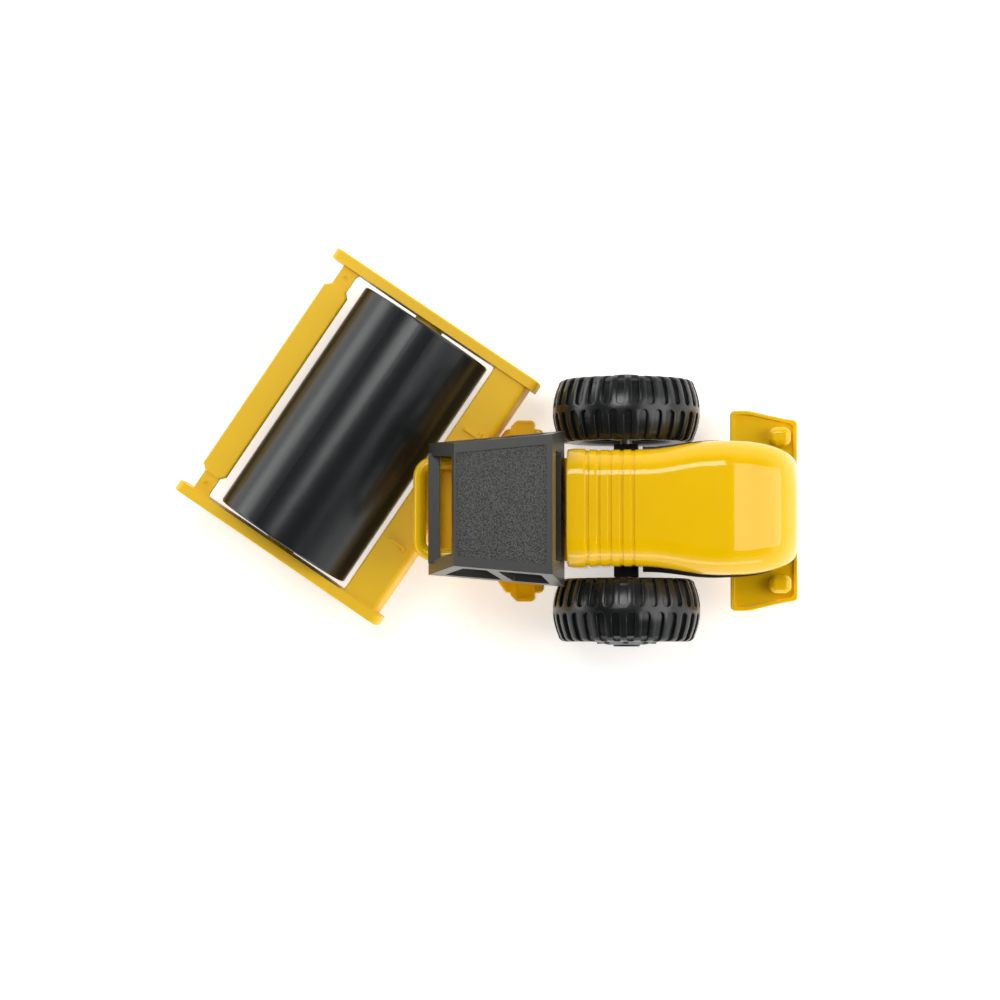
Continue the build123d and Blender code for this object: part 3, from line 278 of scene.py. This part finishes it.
def softened(node, width):
    """The node's own shape with the small radius that a mould leaves on its edges."""
    piece = frame["nodes"][node].copy()
    piece.data = piece.data.copy()
    piece.name = node + "_moulded"
    bpy.context.scene.collection.objects.link(piece)
    only(piece)
    bpy.ops.mesh.customdata_custom_splitnormals_clear()
    bpy.ops.object.mode_set(mode="EDIT")
    bpy.ops.mesh.select_all(action="SELECT")
    bpy.ops.mesh.remove_doubles(threshold=WELD_DISTANCE * MM)
    bpy.ops.mesh.dissolve_limited(angle_limit=math.radians(FLAT_ANGLE))
    bpy.ops.object.mode_set(mode="OBJECT")
    apply_modifier(piece, "BEVEL", width=width * MM, segments=ROUND_SEGMENTS,
                   limit_method="ANGLE", angle_limit=math.radians(EDGE_ANGLE),
                   use_clamp_overlap=True)
    bpy.ops.object.shade_smooth_by_angle(angle=math.radians(SMOOTH_ANGLE))
    apply_modifier(piece, "WEIGHTED_NORMAL", keep_sharp=True, weight=FACE_WEIGHT)
    finish_piece(piece, node)


# ------------------------------------------------------------------- tyres
TYRE_RADIUS = 18.75
TYRE_HALF = 8.0
CROWN_DROP = 1.4
CROWN_STEPS = 12
SHOULDER = 6.5               # the crown ends here, from the tyre's middle
SHOULDER_FALL = 2.0
SHOULDER_TURNS = range(15, 91, 15)  # degrees round the shoulder, at each profile point
BORE = 11.0
BEAD_HALF = 7.6
SIDEWALL = (                 # across and radius, from the shoulder in to the bore's middle
    (TYRE_HALF, 14.2), (TYRE_HALF - 0.15, 13.0), (BEAD_HALF, 11.5), (BEAD_HALF - 0.3, BORE),
    (0, BORE),
)
PITCHES = 30
POCKET_HALF = 1.03           # half a pocket's width, along the tread
POCKET_START = 0.7           # inner end of a pocket, across the tread
POCKET_END = 9.4             # outer end, measured over the shoulder
POCKET_DEPTH = 0.85
POCKET_ROUND = 0.13          # radius on a pocket's rim
FADE_START = 8.0             # from here to its outer end a pocket grows shallow
OUTER_END_SHARE = 0.6        # length of the outer end's curve, to the inner end's
COLUMNS = 10                 # mesh columns in one pitch
COLUMN_TURNS = (0, 24, 48, 76)  # degrees round a pocket's end, at each mesh column
TREAD_ROWS = (0, 0.35, POCKET_START, 2.2, 3.2, 4.2, 5.2, 6.0, 6.7, 7.2, 7.7, 8.2, 8.6, POCKET_END)
SIDE_ROWS = (9.9, 10.6, 11.8, 13.2)  # mesh rows, as distances from the tread's middle
BORE_ROW_SHARE = 0.9         # the row just inside the bore, as a share of the bead's half
EVENING = 0.7                # power by which columns spread out evenly past a pocket
LEVEL_ERROR = 1e-4           # an edge within this of the top lies on the top
SIDE_ERROR = 1e-3            # the same for a pocket's straight sides
END_ERROR = 0.02             # the same for its round ends
JOIN_DISTANCE = 0.01         # points of two neighbouring pitches closer than this are one
TYRE_SMOOTH_ANGLE = 50       # degrees
pitch_length = 2 * math.pi * TYRE_RADIUS / PITCHES


def tyre_profile():
    """Points (across, radius) from the tread's middle round the outside to the bore's middle."""
    edge = TYRE_RADIUS - CROWN_DROP
    points = [(SHOULDER * i / CROWN_STEPS, TYRE_RADIUS - CROWN_DROP * (i / CROWN_STEPS) ** 2)
              for i in range(CROWN_STEPS + 1)]
    for turn in SHOULDER_TURNS:
        a = math.radians(turn)
        points.append((SHOULDER + (TYRE_HALF - SHOULDER) * math.sin(a),
                       edge - SHOULDER_FALL * (1 - math.cos(a))))
    return points + list(SIDEWALL)


def along(points, distance):
    """The point at a distance along a run of points, and the run's outward normal there."""
    for (x0, r0), (x1, r1) in zip(points, points[1:]):
        length = math.hypot(x1 - x0, r1 - r0)
        if distance <= length + 1e-6:
            share = distance / length
            normal = (-(r1 - r0) / length, (x1 - x0) / length)
            return (x0 + share * (x1 - x0), r0 + share * (r1 - r0)), normal
        distance -= length
    return points[-1], (0, -1)


def end_bend(t):
    """How far a pocket's round end falls back at t from the pocket's middle line."""
    return POCKET_HALF - math.sqrt(max(POCKET_HALF ** 2 - t ** 2, 0))


def flat_tread(rows, first, last):
    """One pitch of half a tread laid flat, and each vertex's row and column."""
    inner = [-POCKET_HALF * math.cos(math.radians(a)) for a in COLUMN_TURNS]
    lines = [-pitch_length / 2, *inner, 0, *(-t for t in reversed(inner)), pitch_length / 2]
    bpy.ops.object.select_all(action="DESELECT")
    bpy.ops.mesh.primitive_grid_add(x_subdivisions=len(rows) - 1, y_subdivisions=COLUMNS, size=2)
    piece = bpy.context.object
    place = {}
    for vertex in piece.data.vertices:
        row = round((vertex.co.x + 1) / 2 * (len(rows) - 1))
        column = round((vertex.co.y + 1) / 2 * COLUMNS)
        place[vertex.index] = (row, column)
        s, t = rows[row], lines[column]
        if row < first or row > last:
            near = s / rows[first] if row < first else (rows[-1] - s) / (rows[-1] - rows[last])
            even = (column / COLUMNS - 0.5) * pitch_length
            t = even + (t - even) * min(near, 1) ** EVENING
        elif row == first:
            s += end_bend(t)
        elif row == last:
            s -= end_bend(t) * OUTER_END_SHARE
        vertex.co = (s, t, 0)
    return piece, place


def pocket_rim(a, b, start, end):
    """Whether the top edge from a to b lies on the outline of a pocket from start to end."""
    if all(abs(abs(p.y) - POCKET_HALF) < SIDE_ERROR for p in (a, b)) and a.y * b.y > 0:
        return start < (a.x + b.x) / 2 < end
    return any(
        all(abs(p.x - (tip + reach * end_bend(p.y))) < END_ERROR for p in (a, b))
        for tip, reach in ((start, 1), (end, -OUTER_END_SHARE))
    )


def sink_pocket(piece, place, rows, first, last):
    """Sinks the pocket in a flat pitch and rounds its rim."""
    mesh = piece.data
    start_selection(piece, "FACE")
    for polygon in mesh.polygons:
        spots = [place[v] for v in polygon.vertices]
        row, column = min(r for r, _ in spots), min(c for _, c in spots)
        polygon.select = first <= row < last and 1 <= column < COLUMNS - 1
    bpy.ops.object.mode_set(mode="EDIT")
    bpy.ops.mesh.extrude_region_move(TRANSFORM_OT_translate={"value": (0, 0, -POCKET_DEPTH)})
    bpy.ops.object.mode_set(mode="OBJECT")
    start_selection(piece, "EDGE")
    for edge in mesh.edges:
        a, b = (mesh.vertices[v].co for v in edge.vertices)
        on_top = abs(a.z) < LEVEL_ERROR and abs(b.z) < LEVEL_ERROR
        within = all(abs(p.y) < POCKET_HALF + SIDE_ERROR for p in (a, b))
        edge.select = on_top and within and pocket_rim(a, b, rows[first], rows[last])
    bpy.ops.object.mode_set(mode="EDIT")
    bpy.ops.mesh.bevel(offset=POCKET_ROUND, offset_type="OFFSET", segments=2, affect="EDGES")
    bpy.ops.object.mode_set(mode="OBJECT")


def tread_half(side, turn):
    """Half a tyre: side is the sign of its X, turn the angle of its first pocket's middle."""
    profile = tyre_profile()
    total = sum(math.dist(a, b) for a, b in zip(profile, profile[1:]))
    rows = [*TREAD_ROWS, *SIDE_ROWS, total - BEAD_HALF * BORE_ROW_SHARE, total]
    first, last = rows.index(POCKET_START), rows.index(POCKET_END)
    piece, place = flat_tread(rows, first, last)
    sink_pocket(piece, place, rows, first, last)
    for vertex in piece.data.vertices:
        s, t, depth = vertex.co
        (x, r), (nx, nr) = along(profile, max(s, 0))
        fade = 1 - max(0, min((s - FADE_START) / (POCKET_END - FADE_START), 1)) ** 2
        x += nx * depth * fade
        r += nr * depth * fade
        a = turn + t / TYRE_RADIUS
        vertex.co = (side * x, r * math.sin(a), r * math.cos(a))
    only(piece)
    bpy.ops.object.mode_set(mode="EDIT")
    bpy.ops.mesh.select_all(action="SELECT")
    bpy.ops.mesh.spin(steps=PITCHES - 1, dupli=True, angle=2 * math.pi * (PITCHES - 1) / PITCHES,
                      center=(0, 0, 0), axis=(1, 0, 0))
    bpy.ops.object.mode_set(mode="OBJECT")
    return piece


def tyre(name, side, outer_turn):
    """Tyre with two staggered rows of round-ended tread pockets."""
    stagger = math.pi / PITCHES
    outside = tread_half(side, outer_turn)
    inside = tread_half(-side, outer_turn + stagger)
    only(outside)
    inside.select_set(True)
    bpy.ops.object.join()
    piece = bpy.context.object
    piece.name = name + "_treaded"
    bpy.ops.object.mode_set(mode="EDIT")
    bpy.ops.mesh.select_all(action="SELECT")
    bpy.ops.mesh.remove_doubles(threshold=JOIN_DISTANCE)
    bpy.ops.mesh.normals_make_consistent(inside=False)
    bpy.ops.object.mode_set(mode="OBJECT")
    low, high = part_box(name)
    centre = (Vector(low) + Vector(high)) / 2
    piece.data.transform(Matrix.Translation(centre) @ Matrix.Scale(MM, 4))
    only(piece)
    bpy.ops.object.shade_smooth_by_angle(angle=math.radians(TYRE_SMOOTH_ANGLE))
    finish_piece(piece, name)


# ------------------------------------------------- floor, light and camera
FLOOR_SIZE = 8.0
FLOOR_LEVEL = -0.0002        # just under the tyres and the drum
SURROUND_STRENGTH = 1.1
SURROUND_WHITE_TO = 0.3      # height of view, as a sine, up to which the surround is white
SURROUND_DARK_FROM = 0.72    # and from which it is dark
CAMERA_EYE = hitch + Vector((0.0366, 0.0663, 0.884))
CAMERA_AIM = hitch + Vector((-0.0037, 0.0070, 0.0))
LENS_LENGTH = 122.4
LENS_SENSOR = 36.0
LIGHTS = {                   # place, size and power in watts
    "key": ((-0.34, -0.12, 1.13), (0.5, 0.36), 4.0),
    "rear panel": ((0.0, 0.98, 0.86), (0.9, 1.1), 8.0),
    "front wall": ((-0.8, -1.2, 0.4), (2.0, 0.5), 8.5),
    "side panel": ((1.3, 0.1, 0.35), (1.2, 0.3), 3.0),
}


def lit_floor():
    """White opal sheet lit from below, so that shadows on it stay faint."""
    material = bpy.data.materials.new("lit white sheet")
    material.use_nodes = True
    shader = material.node_tree.nodes["Principled BSDF"]
    shader.inputs["Base Color"].default_value = (0.93, 0.92, 0.91, 1)
    shader.inputs["Roughness"].default_value = 0.9
    shader.inputs["Emission Color"].default_value = (1.0, 0.97, 0.94, 1)
    shader.inputs["Emission Strength"].default_value = 0.5
    return material


def studio():
    """White floor, and a surround that is white at the sides and dark overhead."""
    bpy.ops.object.select_all(action="DESELECT")
    bpy.ops.mesh.primitive_plane_add(size=FLOOR_SIZE, location=(0, 0, FLOOR_LEVEL))
    floor = bpy.context.object
    floor.name = "studio_floor"
    floor.data.materials.append(lit_floor())
    world = bpy.data.worlds.new("studio surround")
    world.use_nodes = True
    nodes, links = world.node_tree.nodes, world.node_tree.links
    place = nodes.new("ShaderNodeTexCoord")
    split = nodes.new("ShaderNodeSeparateXYZ")
    ramp = nodes.new("ShaderNodeValToRGB")
    ramp.color_ramp.elements[0].color = (1, 1, 1, 1)
    ramp.color_ramp.elements[0].position = SURROUND_WHITE_TO
    ramp.color_ramp.elements[1].color = (0.03, 0.03, 0.03, 1)
    ramp.color_ramp.elements[1].position = SURROUND_DARK_FROM
    links.new(place.outputs["Generated"], split.inputs[0])
    links.new(split.outputs["Z"], ramp.inputs["Fac"])
    links.new(ramp.outputs["Color"], nodes["Background"].inputs["Color"])
    nodes["Background"].inputs["Strength"].default_value = SURROUND_STRENGTH
    bpy.context.scene.world = world


def softbox(name, place, size, power):
    """Rectangular area light at place, facing the origin; size is width and length."""
    light = bpy.data.lights.new(name, "AREA")
    light.shape = "RECTANGLE"
    light.size, light.size_y = size
    light.energy = power
    lamp = bpy.data.objects.new(name, light)
    bpy.context.scene.collection.objects.link(lamp)
    lamp.location = place
    facing = Vector((0, 0, 0)) - Vector(place)
    lamp.rotation_euler = facing.to_track_quat("-Z", "Y").to_euler()


def camera():
    """Almost straight down from high above the tail, with the tractor's right side up."""
    lens = bpy.data.cameras.new("camera")
    lens.lens = LENS_LENGTH
    lens.sensor_width = LENS_SENSOR
    lens.clip_start = 0.01
    view = bpy.data.objects.new("camera", lens)
    bpy.context.scene.collection.objects.link(view)
    back = (CAMERA_EYE - CAMERA_AIM).normalized()
    up = Vector((-1, 0, 0))
    right = up.cross(back).normalized()
    up = back.cross(right)
    turn = Matrix((right, up, back)).transposed().to_4x4()
    view.matrix_world = Matrix.Translation(CAMERA_EYE) @ turn
    bpy.context.scene.camera = view


# --------------------------------------------------------- pieces and scene
FIRST_POCKET_LEFT = 5.2      # degrees from the top to the middle of an outer pocket
FIRST_POCKET_RIGHT = -2.7
EDGE_ROUNDS = {              # width of the rounding on each node's edges
    "drum_yoke": 0.22, "drum_shell_front": 0.06, "drum_shell_rear": 0.06, "drum_disc_left": 0.15,
    "drum_disc_right": 0.15, "cab_frame": 0.22, "cab_deck": 0.25, "operator_console": 0.3,
    "operator_seat": 0.3, "step_left": 0.2, "step_right": 0.2, "hood": 0.12, "engine_frame": 0.12,
    "radiator_grille": 0.12, "rear_bumper": 0.15, "rear_chassis": 0.25, "chassis_cover": 0.2,
    "axle_housing": 0.2, "rim_left": 0.12, "rim_right": 0.12, "hitch_pin": 0.15,
}
tyre("tyre_left", 1, math.radians(FIRST_POCKET_LEFT))
tyre("tyre_right", -1, math.radians(FIRST_POCKET_RIGHT))
for node, width in EDGE_ROUNDS.items():
    softened(node, width)
studio()
for name, (place, size, power) in LIGHTS.items():
    softbox(name, place, size, power)
camera()
bpy.context.scene.view_settings.view_transform = "Standard"
